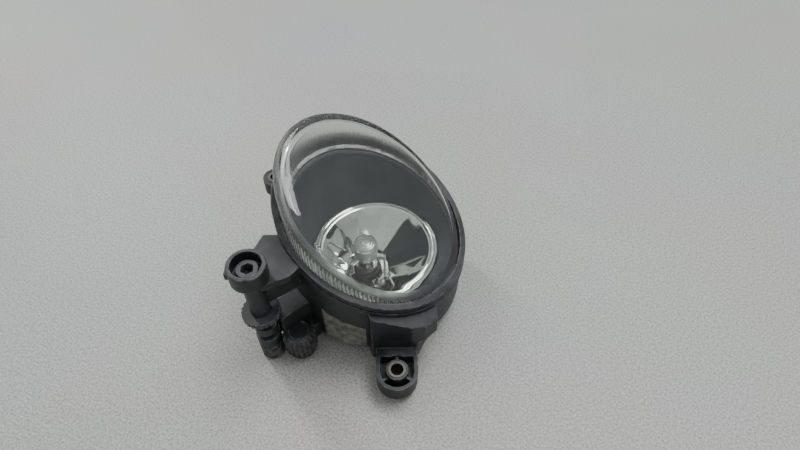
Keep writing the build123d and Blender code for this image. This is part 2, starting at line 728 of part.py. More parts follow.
with BuildPart() as cover_seal:
    with BuildSketch(Plane.XY.offset(cover_t)):
        Circle(cover_r - 0.6)
        Circle(cover_skirt_r + 0.02, mode=Mode.SUBTRACT)
    extrude(amount=floor_z - cover_t - 0.05)
save(cover_seal, "cover_seal")
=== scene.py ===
# %% [markdown]
# # A round fog light on its back
#
# The lamp is a plastic cup with a slanted lip. A thick pressed glass is glued into
# the lip, a dark bezel leads down from it to a faceted reflector, and a bulb with a
# metal cap stands in the middle. An adjusting screw, an electrical socket and two
# lugs hang on the outside. The solids come from the CAD frame. Here the pieces that
# show get finer meshes, and every surface gets its finish.

# %% The frame
import math

import bmesh
import bpy
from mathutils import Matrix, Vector


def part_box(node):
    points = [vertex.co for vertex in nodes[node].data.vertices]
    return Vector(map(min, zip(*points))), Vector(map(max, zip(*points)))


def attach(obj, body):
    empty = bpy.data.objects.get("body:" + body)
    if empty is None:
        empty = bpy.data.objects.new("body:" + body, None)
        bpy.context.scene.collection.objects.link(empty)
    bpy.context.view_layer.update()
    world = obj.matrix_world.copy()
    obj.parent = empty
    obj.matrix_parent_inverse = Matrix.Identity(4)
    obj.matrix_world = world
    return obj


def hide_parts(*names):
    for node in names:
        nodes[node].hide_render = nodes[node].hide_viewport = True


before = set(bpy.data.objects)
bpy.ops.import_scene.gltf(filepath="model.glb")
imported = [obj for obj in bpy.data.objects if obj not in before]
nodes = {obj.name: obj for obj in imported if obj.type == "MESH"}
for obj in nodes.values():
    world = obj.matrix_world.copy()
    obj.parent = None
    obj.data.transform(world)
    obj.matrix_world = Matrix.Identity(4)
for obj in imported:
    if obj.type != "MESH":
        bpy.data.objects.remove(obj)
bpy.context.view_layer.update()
MM = 0.001

# %% [markdown]
# Every fine mesh has to sit where its solid sits, so the outer sizes are read from
# the frame's boxes. They could all be typed in, but then a changed solid would leave
# its mesh behind. The slants and the ring's own height are in no box, so they are
# written here. The ring is the slanted edge of the housing, and the glass face falls
# more steeply.

# %% Sizes from the frame, in millimetres
lens_low, lens_high = (Vector(corner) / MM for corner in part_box("lens"))
lens_r = (lens_high.y - lens_low.y) / 2
glass_wall = 3.0
ring_z = 60.0
ring_slope = 0.45            # fall for each mm towards +X
face_slope = 0.70
face_rise = 11.4             # the face above the ring on the axis, before its crown
face_crown = 1.4
glass_depth = 5.0
bezel_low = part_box("bezel")[0][2] / MM
reflector_low, reflector_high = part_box("reflector")
rim_r = (reflector_high[1] - reflector_low[1]) / MM / 2
rim_top = reflector_high[2] / MM
neck_low = reflector_low[2] / MM
cap_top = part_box("bulb_shield")[1][2] / MM
bulb_low, bulb_high = (Vector(corner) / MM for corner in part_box("bulb_glass"))
bulb = Vector(((bulb_low.x + bulb_high.x) / 2, (bulb_low.y + bulb_high.y) / 2, 0))
print("lens radius", round(lens_r, 2), "bulb at", bulb)


def ring_height(x, drop=0.0):
    """Height of the ring's plane at x, lowered by drop."""
    return ring_z - ring_slope * x - drop


def face_height(x, y, drop=0.0):
    """Height of the glass face: a slanted plane, crowned a little in the middle."""
    crown = face_crown * (1 - (x * x + y * y) / (lens_r * lens_r))
    return ring_z + face_rise - face_slope * x + crown - drop


# %% [markdown]
# Most pieces of a lamp are turned shapes or shapes that differ from turned ones by a
# slant. They could be spun from a profile, but a spin can't follow the slanted ring.
# So one helper adds a circle and extrudes it ring by ring, as by hand, and a small
# formula places each ring by its turn round the axis. Blocks with rounded edges make
# the rest.

# %% Helpers for meshes
def deselect():
    if bpy.context.object and bpy.context.object.mode != "OBJECT":
        bpy.ops.object.mode_set(mode="OBJECT")
    bpy.ops.object.select_all(action="DESELECT")


def active(name):
    piece = bpy.context.object
    piece.name = name
    piece.data.name = name
    return piece


def pick(piece):
    """Make the piece the only selected object, and the active one."""
    deselect()
    piece.select_set(True)
    bpy.context.view_layer.objects.active = piece


def smooth(piece, degrees):
    pick(piece)
    bpy.ops.object.shade_smooth_by_angle(angle=math.radians(degrees))


def bevelled_block(name, centre, turn, sides, edge, segments):
    """A box with rounded edges, with its centre, sides and edge in mm."""
    deselect()
    place_m = tuple(value * MM for value in centre)
    bpy.ops.mesh.primitive_cube_add(size=1, location=place_m, rotation=(0, 0, turn))
    block = active(name)
    block.scale = [side * MM for side in sides]
    pick(block)
    bpy.ops.object.transform_apply(location=True, rotation=True, scale=True)
    bevel = block.modifiers.new("edge", "BEVEL")
    bevel.width = edge * MM
    bevel.segments = segments
    bpy.ops.object.modifier_apply(modifier=bevel.name)
    return block


def join_to(piece, extra):
    """Take the extra piece into the first one."""
    pick(piece)
    extra.select_set(True)
    bpy.ops.object.join()


def rings(name, sides, stations, loop=False, caps=False):
    """A skin through rings of points. A station turns an angle into x, y, z in mm."""
    deselect()
    bpy.ops.mesh.primitive_circle_add(vertices=sides, radius=1)
    piece = active(name)
    bpy.ops.object.mode_set(mode="EDIT")
    bpy.ops.mesh.select_mode(type="VERT")
    mesh = bmesh.from_edit_mesh(piece.data)
    turn = mesh.verts.layers.float.new("turn")
    for vert in mesh.verts:
        vert[turn] = math.atan2(vert.co.y, vert.co.x)
    bmesh.update_edit_mesh(piece.data)
    for index, station in enumerate(stations):
        if index == 0:
            bpy.ops.mesh.select_all(action="DESELECT")
        else:
            bpy.ops.mesh.extrude_region_move()
        mesh = bmesh.from_edit_mesh(piece.data)
        turn = mesh.verts.layers.float["turn"]
        for vert in mesh.verts:
            if index == 0:
                vert.select = True
            if vert.select:
                vert.co = Vector(station(vert[turn])) * MM
        mesh.select_flush(True)
        bmesh.update_edit_mesh(piece.data)
    if caps:
        bpy.ops.mesh.edge_face_add()
        bpy.ops.mesh.select_all(action="DESELECT")
        bpy.ops.mesh.select_non_manifold()
        bpy.ops.mesh.edge_face_add()
    if loop:
        bpy.ops.mesh.select_all(action="DESELECT")
        bpy.ops.mesh.select_mode(type="EDGE")
        bpy.ops.mesh.select_non_manifold()
        bpy.ops.mesh.bridge_edge_loops()
        bpy.ops.mesh.select_mode(type="VERT")
    bpy.ops.mesh.select_all(action="SELECT")
    bpy.ops.mesh.normals_make_consistent(inside=False)
    bpy.ops.object.mode_set(mode="OBJECT")
    piece.data.attributes.remove(piece.data.attributes["turn"])
    print(name, len(piece.data.polygons), "faces")
    return piece


def turned(x, y, radius, height):
    """A plain round station about the upright line through x, y."""
    return lambda turn: (x + radius * math.cos(turn), y + radius * math.sin(turn), height)


def finish_piece(piece, body, material, slot, *replaced):
    """Give a piece its body, its finish and the CAD nodes that it stands for."""
    piece.data.materials.clear()
    piece.data.materials.append(material)
    if replaced:
        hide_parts(*replaced)
    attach(piece, body)


# %% [markdown]
# All the finishes are built from nodes in code. The node editor would do the same by
# hand, but the same few steps come back in every material: add a node with its
# settings, join sockets, start a group, start a material. So each has a helper.

# %% Helpers for materials
def place(tree, kind, **settings):
    """Add a node; settings are its own properties or its inputs, by name."""
    made = tree.nodes.new(kind)
    for key, value in settings.items():
        label = key.replace("_", " ").title()
        if key in made.inputs:
            made.inputs[key].default_value = value
        elif label in made.inputs:
            made.inputs[label].default_value = value
        else:
            setattr(made, key, value)
    return made


def wire(tree, *pairs):
    """Join sockets, each pair from an output to an input."""
    for source, target in pairs:
        tree.links.new(source, target)


def span(node, side, low, high):
    """Set the From or To ends of a Map Range node."""
    node.inputs[side + " Min"].default_value = low
    node.inputs[side + " Max"].default_value = high


def group_of(name, inputs, outputs):
    """An empty shader group with named float, colour or vector sockets."""
    tree = bpy.data.node_groups.new(name, "ShaderNodeTree")
    kinds = {"f": "NodeSocketFloat", "c": "NodeSocketColor", "v": "NodeSocketVector"}
    for label, kind, value in inputs:
        made = tree.interface.new_socket(label, in_out="INPUT", socket_type=kinds[kind])
        if value is not None:
            made.default_value = value
    for label, kind in outputs:
        tree.interface.new_socket(label, in_out="OUTPUT", socket_type=kinds[kind])
    return tree, tree.nodes.new("NodeGroupInput"), tree.nodes.new("NodeGroupOutput")


def new_material(name):
    made = bpy.data.materials.new(name)
    made.use_nodes = True
    made.node_tree.nodes.clear()
    tree = made.node_tree
    shader = tree.nodes.new("ShaderNodeBsdfPrincipled")
    out = tree.nodes.new("ShaderNodeOutputMaterial")
    tree.links.new(shader.outputs["BSDF"], out.inputs["Surface"])
    return made, tree, shader


# %% [markdown]
# Old plastic is never one black, because dust settles on what faces up and stays in
# patches. It could be scattered as grains, but at this distance only its tint and
# its dullness show, so a mask is enough. Broad noise makes the patches, fine noise
# the grit, and the upward side of the surface gets more. That upward lift is partly
# dust and partly a painted sheen, the light from above painted in as a paler colour.
# It is a group, because the housing, the rubber and the bezel use it with their own amounts.

# %% Group: settled dust and painted sheen
dust_and_sheen_group, dust_and_sheen_in, dust_and_sheen_out = group_of(
    "settled dust and painted sheen",
    [("Vector", "v", None), ("Up", "f", 0.0), ("Cover", "f", 0.3), ("Scale", "f", 60.0)],
    [("Mask", "f")],
)
patches = place(dust_and_sheen_group, "ShaderNodeTexNoise", Detail=8.0, Roughness=0.65)
grit = place(dust_and_sheen_group, "ShaderNodeTexNoise", Detail=3.0, Roughness=0.5, Scale=1400.0)
spread = place(dust_and_sheen_group, "ShaderNodeMapRange")
span(spread, "From", 0.42, 0.72)
# Upward faces get more of the mask: partly settled dust, partly a painted sheen from the light above.
upward_dust_and_sheen = place(dust_and_sheen_group, "ShaderNodeMapRange")
upward_dust_and_sheen.inputs["From Min"].default_value = -0.1
upward_dust_and_sheen.inputs["To Min"].default_value = 0.25
weigh = place(dust_and_sheen_group, "ShaderNodeMath", operation="MULTIPLY")
speck = place(dust_and_sheen_group, "ShaderNodeMath", operation="MULTIPLY")
cover = place(dust_and_sheen_group, "ShaderNodeMath", operation="MULTIPLY", use_clamp=True)
wire(
    dust_and_sheen_group,
    (dust_and_sheen_in.outputs["Vector"], patches.inputs["Vector"]),
    (dust_and_sheen_in.outputs["Scale"], patches.inputs["Scale"]),
    (dust_and_sheen_in.outputs["Vector"], grit.inputs["Vector"]),
    (dust_and_sheen_in.outputs["Up"], upward_dust_and_sheen.inputs["Value"]),
    (patches.outputs["Fac"], spread.inputs["Value"]),
    (spread.outputs["Result"], weigh.inputs[0]),
    (upward_dust_and_sheen.outputs["Result"], weigh.inputs[1]),
    (weigh.outputs["Value"], speck.inputs[0]),
    (grit.outputs["Fac"], speck.inputs[1]),
    (speck.outputs["Value"], cover.inputs[0]),
    (dust_and_sheen_in.outputs["Cover"], cover.inputs[1]),
    (cover.outputs["Value"], dust_and_sheen_out.inputs["Mask"]),
)

print("settled dust and painted sheen has", len(dust_and_sheen_group.nodes), "nodes")

# %% [markdown]
# A mould leaves a fine grain on plastic, and use leaves it cloudy. Modelled pores
# would be too small to see one by one, so a fine noise gives a height for the bump,
# and a coarser one gives the shade that mixes two colours.

# %% Group: mould grain
grain_group, grain_in, grain_out = group_of(
    "mould grain",
    [("Vector", "v", None), ("Scale", "f", 900.0), ("Mottle", "f", 70.0)],
    [("Height", "f"), ("Shade", "f")],
)
pores = place(grain_group, "ShaderNodeTexNoise", Detail=4.0, Roughness=0.6)
waves = place(grain_group, "ShaderNodeTexNoise", Detail=4.0)
contrast = place(grain_group, "ShaderNodeMapRange")
span(contrast, "From", 0.35, 0.65)
wire(
    grain_group,
    (grain_in.outputs["Vector"], pores.inputs["Vector"]),
    (grain_in.outputs["Scale"], pores.inputs["Scale"]),
    (grain_in.outputs["Vector"], waves.inputs["Vector"]),
    (pores.outputs["Fac"], grain_out.inputs["Height"]),
    (grain_in.outputs["Mottle"], waves.inputs["Scale"]),
    (waves.outputs["Fac"], contrast.inputs["Value"]),
    (contrast.outputs["Result"], grain_out.inputs["Shade"]),
)
print("mould grain has", len(grain_group.nodes), "nodes")

# %% [markdown]
# Handling rubs the corners of a moulding pale and rounds them. Pointiness could find
# the corners, but it depends on how dense the mesh is, and CAD solids are uneven. The
# Bevel node gives the surface's direction as if its edges were rounded. Where that
# differs from the true direction there is an edge, so one group gives both a mask for
# wear and the rounded normal.

# %% Group: worn edges
wear_group, wear_in, wear_out = group_of(
    "worn edges", [("Vector", "v", None), ("Radius", "f", 0.0009)], [("Mask", "f"), ("Normal", "v")]
)
rounded = place(wear_group, "ShaderNodeBevel", samples=4)
true_way = place(wear_group, "ShaderNodeNewGeometry")
apart = place(wear_group, "ShaderNodeVectorMath", operation="DISTANCE")
nicks = place(wear_group, "ShaderNodeTexNoise", Scale=350.0, Detail=5.0)
chance = place(wear_group, "ShaderNodeMapRange")
span(chance, "From", 0.38, 0.62)
edge = place(wear_group, "ShaderNodeMapRange")
span(edge, "From", 0.06, 0.45)
worn = place(wear_group, "ShaderNodeMath", operation="MULTIPLY", use_clamp=True)
wire(
    wear_group,
    (wear_in.outputs["Radius"], rounded.inputs["Radius"]),
    (rounded.outputs["Normal"], apart.inputs[0]),
    (true_way.outputs["Normal"], apart.inputs[1]),
    (apart.outputs["Value"], edge.inputs["Value"]),
    (wear_in.outputs["Vector"], nicks.inputs["Vector"]),
    (nicks.outputs["Fac"], chance.inputs["Value"]),
    (edge.outputs["Result"], worn.inputs[0]),
    (chance.outputs["Result"], worn.inputs[1]),
    (worn.outputs["Value"], wear_out.inputs["Mask"]),
    (rounded.outputs["Normal"], wear_out.inputs["Normal"]),
)
print("worn edges has", len(wear_group.nodes), "nodes")

# %% [markdown]
# Nearly all the outside is black moulded plastic or rubber. The finishes differ in
# colour, shine and dust but not in kind, so one recipe makes them all: two mottled
# colours, pale worn edges where handling reaches, dust with a painted sheen over both,
# paler on upward faces, and the grain as bump. Dust also dulls the shine, so the same
# mask drives the roughness.

# %% Recipe: moulded plastic
def use_group(tree, group, **values):
    """Put a shader group into a material, with this material's values."""
    made = tree.nodes.new("ShaderNodeGroup")
    made.node_tree = group
    for key, value in values.items():
        made.inputs[key].default_value = value
    return made


def moulded(name, dark, pale, rough, dust_and_sheen, cover, grain=0.15, wear=None, mottling=70.0):
    """Moulded plastic or rubber: mottled colour, settled dust and painted sheen, and a fine grain."""
    made, tree, shader = new_material(name)
    where = place(tree, "ShaderNodeTexCoord")
    facing = place(tree, "ShaderNodeNewGeometry")
    split_facing = place(tree, "ShaderNodeSeparateXYZ")
    fine = use_group(tree, grain_group, Mottle=mottling)
    dust_and_sheen_mask = use_group(tree, dust_and_sheen_group, Cover=cover)
    mottle = place(tree, "ShaderNodeMix", data_type="RGBA")
    mottle.inputs["A"].default_value = (*dark, 1)
    mottle.inputs["B"].default_value = (*pale, 1)
    # Mixes in the dust colour, which on upward faces also stands for a painted sheen.
    dust_and_sheen_mix = place(tree, "ShaderNodeMix", data_type="RGBA")
    dust_and_sheen_mix.inputs["B"].default_value = (*dust_and_sheen, 1)
    dulling = place(tree, "ShaderNodeMapRange")
    span(dulling, "To", rough, 0.95)
    bump = place(tree, "ShaderNodeBump", Strength=grain, Distance=0.0001)
    shader.inputs["IOR"].default_value = 1.45
    colour = mottle.outputs[2]
    if wear:
        edges = use_group(tree, wear_group)
        rubbed = place(tree, "ShaderNodeMix", data_type="RGBA")
        rubbed.inputs["B"].default_value = (*wear, 1)
        tree.links.new(where.outputs["Object"], edges.inputs["Vector"])
        tree.links.new(edges.outputs["Mask"], rubbed.inputs[0])
        tree.links.new(colour, rubbed.inputs["A"])
        tree.links.new(edges.outputs["Normal"], bump.inputs["Normal"])
        colour = rubbed.outputs[2]
    wire(
        tree,
        (where.outputs["Object"], fine.inputs["Vector"]),
        (where.outputs["Object"], dust_and_sheen_mask.inputs["Vector"]),
        (facing.outputs["Normal"], split_facing.inputs["Vector"]),
        (split_facing.outputs["Z"], dust_and_sheen_mask.inputs["Up"]),
        (fine.outputs["Shade"], mottle.inputs[0]),
        (colour, dust_and_sheen_mix.inputs["A"]),
        (dust_and_sheen_mask.outputs["Mask"], dust_and_sheen_mix.inputs[0]),
        (dust_and_sheen_mix.outputs[2], shader.inputs["Base Color"]),
        (dust_and_sheen_mask.outputs["Mask"], dulling.inputs["Value"]),
        (dulling.outputs["Result"], shader.inputs["Roughness"]),
        (fine.outputs["Height"], bump.inputs["Height"]),
        (bump.outputs["Normal"], shader.inputs["Normal"]),
    )
    return made


# %% [markdown]
# The housing's black has gone grey with dust and a painted sheen on its upward faces,
# and is rubbed pale on its edges. The bezel is a cleaner blue grey behind the glass, the
# rubber is duller and grainier, and the screw is worn by the driver. Each one is the
# recipe with its own values.

# %% Plastic and rubber finishes
charcoal = moulded(
    "charcoal plastic",
    dark=(0.009, 0.0095, 0.0105),
    pale=(0.024, 0.025, 0.028),
    rough=0.45,
    # bluish grey: dust, and a painted sheen of the bright sky on upward faces
    dust_and_sheen=(0.17, 0.172, 0.18),
    cover=0.7,
    wear=(0.2, 0.2, 0.195),
)
bezel_finish = moulded(
    "dark bezel",
    dark=(0.050, 0.056, 0.064),
    pale=(0.072, 0.080, 0.090),
    rough=0.5,
    dust_and_sheen=(0.2, 0.21, 0.22),
    cover=0.15,
    grain=0.02,
)
base_finish = moulded(
    "bulb base plastic",
    dark=(0.03, 0.03, 0.03),
    pale=(0.06, 0.06, 0.06),
    rough=0.5,
    dust_and_sheen=(0.2, 0.2, 0.2),
    cover=0.1,
)
rubber_finish = moulded(
    "moulded rubber",
    dark=(0.012, 0.012, 0.012),
    pale=(0.02, 0.02, 0.02),
    rough=0.7,
    dust_and_sheen=(0.15, 0.15, 0.15),
    cover=0.5,
    grain=0.3,
)
worn_plastic = moulded(
    "worn screw plastic",
    dark=(0.02, 0.02, 0.022),
    pale=(0.05, 0.05, 0.055),
    rough=0.4,
    dust_and_sheen=(0.2, 0.2, 0.2),
    cover=0.3,
    wear=(0.22, 0.22, 0.22),
)
print("plastic and rubber finishes made")

# %% [markdown]
# The label is a thin film on the housing's side, stained and scuffed until nothing on
# it can be read. A flat pale grey would look new, so it takes the plastic's recipe
# with finer mottling, stronger contrast and full dust, which on its upward parts is
# also a painted sheen.

# %% Label finish
label_finish = moulded(
    "worn label film",
    dark=(0.055, 0.058, 0.048),
    pale=(0.22, 0.225, 0.19),
    rough=0.5,
    dust_and_sheen=(0.42, 0.42, 0.36),
    cover=1.0,
    grain=0.3,
    mottling=260.0,
)
print("label finish made")

# %% [markdown]
# The metals run from the coated mirror of the reflector to the tarnished sleeves in
# the lugs. They differ in colour and shine. One noise varies both a little, because a
# plain metal looks like plastic wrap, and the mirror gets only a trace of it.

# %% Metals
def metal(name, colour, rough, scratch=0.1):
    """Bare or coated metal; scratch is how much duller its dull spots are."""
    made, tree, shader = new_material(name)
    where = place(tree, "ShaderNodeTexCoord")
    lines = place(tree, "ShaderNodeTexNoise", Scale=400.0, Detail=5.0)
    level = place(tree, "ShaderNodeMapRange")
    span(level, "To", rough, rough + scratch)
    tint = place(tree, "ShaderNodeMix", data_type="RGBA")
    tint.inputs["A"].default_value = (*colour, 1)
    tint.inputs["B"].default_value = (*(part * 0.8 for part in colour), 1)
    shader.inputs["Metallic"].default_value = 1.0
    wire(
        tree,
        (where.outputs["Object"], lines.inputs["Vector"]),
        (lines.outputs["Fac"], level.inputs["Value"]),
        (lines.outputs["Fac"], tint.inputs[0]),
        (tint.outputs[2], shader.inputs["Base Color"]),
        (level.outputs["Result"], shader.inputs["Roughness"]),
    )
    return made


steel = metal("turned steel", (0.55, 0.55, 0.55), 0.25)
brass = metal("tinned brass", (0.7, 0.62, 0.45), 0.3)
tarnished = metal("tarnished bush", (0.13, 0.125, 0.115), 0.45)
cap_metal = metal("drawn cap", (0.55, 0.58, 0.55), 0.34)
mirror = metal("mirror coat", (0.74, 0.77, 0.74), 0.04, 0.06)
print("metals made")

# %% [markdown]
# The lens is thick pressed glass, and its fluted wall is slightly frosted where the
# face isn't. Two materials could share the mesh, but then the frost would end in a
# hard line. A band by radius fades it in instead, and the outer skin stays clear. The
# bulb's capsule is plain clear glass.

# %% Glass
def clear_glass(name, colour, rough, hazy_from=None):
    """Clear glass; beyond the radius hazy_from, in mm, its surface is a little frosted."""
    smear = 0.06                 # how much rougher the smeared spots are
    made, tree, shader = new_material(name)
    where = place(tree, "ShaderNodeTexCoord")
    haze = place(tree, "ShaderNodeTexNoise", Scale=90.0, Detail=6.0)
    level = place(tree, "ShaderNodeMapRange")
    span(level, "From", 0.45, 0.8)
    span(level, "To", rough, rough + smear)
    shader.inputs["Base Color"].default_value = (*colour, 1)
    shader.inputs["Transmission Weight"].default_value = 1.0
    shader.inputs["IOR"].default_value = 1.5
    wire(
        tree,
        (where.outputs["Object"], haze.inputs["Vector"]),
        (haze.outputs["Fac"], level.inputs["Value"]),
        (level.outputs["Result"], shader.inputs["Roughness"]),
    )
    if hazy_from:
        fade = 0.3               # mm over which the frost comes in
        skin = 1.0               # mm of clear glass left at the outside
        frosting = 0.45
        level_out = place(tree, "ShaderNodeVectorMath", operation="MULTIPLY")
        level_out.inputs[1].default_value = (1, 1, 0)
        reach = place(tree, "ShaderNodeVectorMath", operation="LENGTH")
        band = place(tree, "ShaderNodeMapRange")
        span(band, "From", hazy_from * MM, (hazy_from + fade) * MM)
        rim = place(tree, "ShaderNodeMath", operation="LESS_THAN")
        rim.inputs[1].default_value = (lens_r - skin) * MM
        both = place(tree, "ShaderNodeMath", operation="MULTIPLY")
        frost = place(tree, "ShaderNodeMath", operation="MULTIPLY_ADD")
        frost.inputs[1].default_value = frosting
        wire(
            tree,
            (where.outputs["Object"], level_out.inputs[0]),
            (level_out.outputs["Vector"], reach.inputs[0]),
            (reach.outputs["Value"], band.inputs["Value"]),
            (reach.outputs["Value"], rim.inputs[0]),
            (band.outputs["Result"], both.inputs[0]),
            (rim.outputs["Value"], both.inputs[1]),
            (both.outputs["Value"], frost.inputs[0]),
            (level.outputs["Result"], frost.inputs[2]),
            (frost.outputs["Value"], shader.inputs["Roughness"]),
        )
    return made


pressed_glass = clear_glass("pressed glass", (0.95, 0.98, 0.955), 0.0, hazy_from=42.4)
capsule_glass = clear_glass("capsule glass", (1.0, 1.0, 1.0), 0.0)
print("glass made")

# %% [markdown]
# The glass is the face of the lamp. Its wall stands upright on the slanted ring and
# turns through a round shoulder into the slanted face. The inner side of the wall is
# pressed with upright flutes that scatter light. Bump would draw the flutes but not
# bend the light through them, so they are real: six points round the wall for each
# flute give it a rounded form. The skin runs in one go, up the inside and down the
# outside.

# %% Glass lens
flutes = 139
flute_points = 6
flute_depth = 0.22
shoulder_r = 6.0
inner_r = lens_r - glass_wall
inner_drop = glass_wall * math.hypot(1, face_slope)
face_rings = (36, 30, 22, 14, 6, 0.6)


def on_face(radius, fall, drop=0.0):
    """A ring on the face or shoulder; fall is how far it has dropped over the shoulder."""
    def station(turn):
        x, y = radius * math.cos(turn), radius * math.sin(turn)
        return x, y, face_height(x, y, drop) - fall
    return station


def on_wall(radius, share, fall, drop=0.0, flute=0.0):
    """A ring on the wall, at a share of the way from the ring up to the shoulder."""
    def station(turn):
        reach = radius + flute * flute_depth * math.cos(flutes * turn)
        x, y = reach * math.cos(turn), reach * math.sin(turn)
        low = ring_height(x, glass_depth)
        high = face_height(x, y, drop) - fall
        return x, y, low + share * (high - low)
    return station


def shoulder(radius, round_r, drop, steps):
    """Rings over the rounded edge, from the wall to the face."""
    for step in range(steps + 1):
        angle = math.radians(90 * step / steps)
        reach = radius - round_r + round_r * math.cos(angle)
        yield on_face(reach, round_r * (1 - math.sin(angle)), drop)


outside = [on_wall(lens_r, share, shoulder_r) for share in (0.0, 0.5)]
outside += list(shoulder(lens_r, shoulder_r, 0.0, 8))
outside += [on_face(radius, 0.0) for radius in face_rings]
inside = [on_face(radius, 0.0, inner_drop) for radius in (0.6, 6, 14, 22, 30, 35)]
inner_fall = shoulder_r - glass_wall
inside += list(shoulder(inner_r, inner_fall, inner_drop, 6))[::-1]
inside += [on_wall(inner_r, 0.95, inner_fall, inner_drop)]
inside += [on_wall(inner_r, share, inner_fall, inner_drop, 1.0) for share in (0.9, 0.6, 0.4, 0.22)]
inside += [on_wall(inner_r, share, inner_fall, inner_drop) for share in (0.18, 0.0)]
lens = rings("glass_lens", flutes * flute_points, inside + outside, caps=True)
smooth(lens, degrees=40)
finish_piece(lens, "lamp", pressed_glass, "lens_glass", "lens")

# %% [markdown]
# The bezel is a dark funnel from the slanted ring down to the level rim of the
# reflector. A loft between the two edges would give the cone, but a narrow step at
# its top shows through the glass as a double line. So it is built from rings, and
# the last ones make the step.

# %% Bezel
bezel_sides = 180
bezel_top_r = 44.0
bezel_low_r = rim_r + 1.8
bezel_t = 1.2
bezel_top_drop = 6.3         # its upper edge, below the ring's plane
flange_r = lens_r - 0.05


def funnel(share, grow=0.0):
    """A ring on the funnel, at a share of the way from its foot to the slanted ring."""
    def station(turn):
        foot_x = (bezel_low_r + grow) * math.cos(turn)
        foot_y = (bezel_low_r + grow) * math.sin(turn)
        top_x = (bezel_top_r + grow) * math.cos(turn)
        top_y = (bezel_top_r + grow) * math.sin(turn)
        top_z = ring_height(top_x, bezel_top_drop)
        return (
            foot_x + share * (top_x - foot_x),
            foot_y + share * (top_y - foot_y),
            bezel_low + share * (top_z - bezel_low),
        )
    return station


def lip_ring(radius, drop):
    """A ring on the slanted plane of the lip, lowered by drop."""
    def station(turn):
        x, y = radius * math.cos(turn), radius * math.sin(turn)
        return x, y, ring_height(x, drop)
    return station


step_profile = [(41.3, 7.4), (41.8, 6.4), (43.0, 6.2), (43.2, 5.7), (flange_r, 5.7), (flange_r, 6.2)]
bezel_rings = [funnel(share) for share in (1.0, 0.5, 0.0)]
bezel_rings += [funnel(share, -bezel_t) for share in (0.0, 0.03, 0.5, 0.9)]
bezel_rings += [lip_ring(radius, drop) for radius, drop in step_profile]
bezel = rings("bezel_funnel", bezel_sides, bezel_rings, loop=True)
smooth(bezel, degrees=30)
finish_piece(bezel, "lamp", bezel_finish, "bezel_plastic", "bezel")

# %% [markdown]
# The reflector is a bowl with a beaded rim. It is pressed in tall flat facets, so each
# one mirrors its own part of the surroundings. A smooth bowl with a faceted normal
# would shine alike but keep a round outline. Here the rim is round and the facets
# grow out of it, so each ring blends from a circle to a polygon on the way down.

# %% Reflector
facets = 12
facet_points = 8
bowl_r = 30.0
rim_drop = 1.0               # where the facets start, below the rim's top
bowl_deep = 19.5
bowl_t = 1.5
flat_after = 3.0             # depth over which a ring turns from round to flat-sided
facet_turn = 0.35            # share of a facet that the pattern is turned by
vertex_deep = bowl_deep + 0.5
focal = bowl_r ** 2 / (4 * vertex_deep)
least_r = 12.5               # the bowl's floor, round the neck
neck_r = 8.4
collar_r = 14.0
inner_depths = (1.0, 2.2, 3.5, 5.0, 6.5, 8.0, 9.5, 11.0, 12.5, 14.0, 15.3, 16.5, 17.6, 18.6, bowl_deep)


def bowl_ring(depth, grow=0.0, flatness=1.0):
    """A ring of the bowl: round at the rim, a polygon with soft middles lower down."""
    share = (depth - rim_drop) / (bowl_deep - rim_drop)
    radius = max(math.sqrt(4 * focal * (vertex_deep - depth)), least_r)
    flat = flatness * min(1.0, (depth - rim_drop) / flat_after)

    def station(turn):
        across = (turn / (2 * math.pi) * facets + facet_turn) % 1.0 - 0.5
        chord = math.cos(math.pi / facets) / math.cos(2 * math.pi / facets * across)
        reach = radius * (1 + flat * (chord - 1)) + grow
        return (
            bulb.x * share + reach * math.cos(turn),
            bulb.y * share + reach * math.sin(turn),
            rim_top - depth,
        )
    return station


floor_z = rim_top - bowl_deep
rim_profile = [
    (rim_r, 1.4),
    (rim_r, 0.9),
    (rim_r - 0.4, 0.6),
    (bowl_r + 2.3, 0.6),
    (bowl_r + 2.0, 0.15),
    (bowl_r + 1.6, 0.0),
    (bowl_r + 1.2, 0.15),
    (bowl_r + 0.9, 0.6),
    (bowl_r + 0.4, 0.5),
    (bowl_r, 0.8),
]
neck_profile = [(neck_r, floor_z), (neck_r, neck_low), (collar_r, neck_low), (collar_r, floor_z)]
bowl_rings = [turned(0, 0, radius, rim_top - drop) for radius, drop in rim_profile]
bowl_rings += [bowl_ring(depth) for depth in inner_depths]
bowl_rings += [turned(bulb.x, bulb.y, radius, height) for radius, height in neck_profile]
bowl_rings += [bowl_ring(depth, bowl_t, 0.0) for depth in (16.5, 12.5, 7.0, 1.5)]
reflector = rings("reflector_bowl", facets * facet_points, bowl_rings, loop=True)
smooth(reflector, degrees=16)
finish_piece(reflector, "reflector_unit", mirror, "mirror_coat", "reflector")

# %% [markdown]
# The bulb's tip wears a drawn metal cap, which stops stray light. Its top has a few
# pressed rings, and three bent legs stand it on the reflector's neck. The rings could
# be bump, but the cap is the brightest small thing in the lamp and its outline shows
# them. So the cap is turned from a profile, and each leg is three bevelled blocks.

